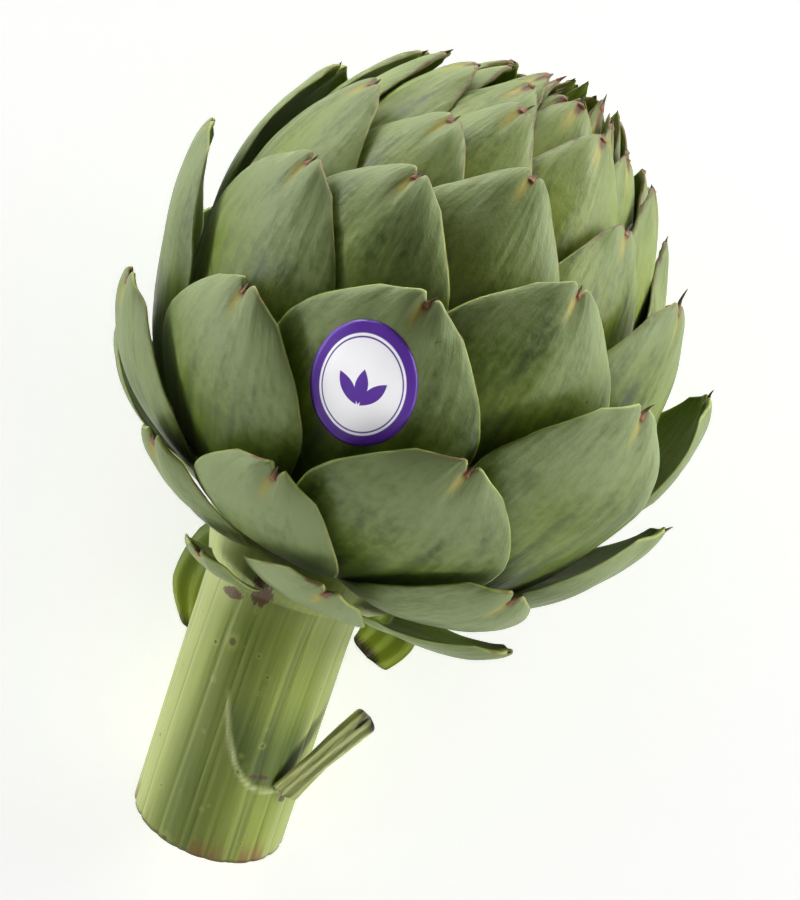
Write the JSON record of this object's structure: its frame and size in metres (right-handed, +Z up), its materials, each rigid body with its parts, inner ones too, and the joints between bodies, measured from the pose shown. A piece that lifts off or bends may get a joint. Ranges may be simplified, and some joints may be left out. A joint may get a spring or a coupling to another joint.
{
  "type": "artichoke",
  "caption": "Globe artichoke with a short cut stalk, lying on its side, with overlapping bracts round a closed bud and a plain oval sticker on one bract.",
  "frame": {"origin": "centre of the bounding box on the surface the artichoke lies on", "axes": "+X from the cut end of the stalk towards the crown, +Y to the left seen with the crown ahead, +Z up"},
  "size_m": [0.1688, 0.1209, 0.1182],
  "materials": {
    "bract": "matt waxy leaf, grey-green with a pale rim",
    "bud": "matt waxy leaf, yellow-green with brown-purple tips",
    "stalk": "satin ribbed stalk, yellow-green",
    "low_leaf": "matt leaf, olive green with a dried tip",
    "label": "smooth paper sticker, white with a purple border"
  },
  "bodies": {
    "root": {"stalk": "stalk", "bract_01": "bract", "bract_06": "bract", "bract_07": "bract", "bract_08": "bract", "bract_09": "bract", "bract_10": "bract", "bract_12": "bract", "bract_13": "bract", "bract_14": "bract", "bract_15": "bract", "bract_16": "bract", "bract_17": "bract", "bract_18": "bract", "bract_19": "bract", "bract_20": "bract", "bract_21": "bract", "bract_22": "bract", "bract_23": "bract", "bract_24": "bract", "bract_25": "bract", "bract_26": "bract", "bract_27": "bract", "bract_28": "bract", "bract_29": "bract", "bract_30": "bract", "bract_31": "bract", "bract_32": "bract", "bract_33": "bract", "bract_34": "bract", "bract_35": "bract", "bract_36": "bract", "bract_37": "bract", "bract_38": "bract", "bract_39": "bract", "bract_40": "bract", "bract_41": "bract", "bract_42": "bract", "bract_43": "bract", "bract_44": "bract", "bract_45": "bract", "bract_46": "bract", "bract_47": "bract", "bract_48": "bract", "bud": "bud", "leaf_low_left": "low_leaf", "leaf_low_right": "low_leaf", "stalk_leaf": "low_leaf", "label": "label"}
  },
  "joints": []
}
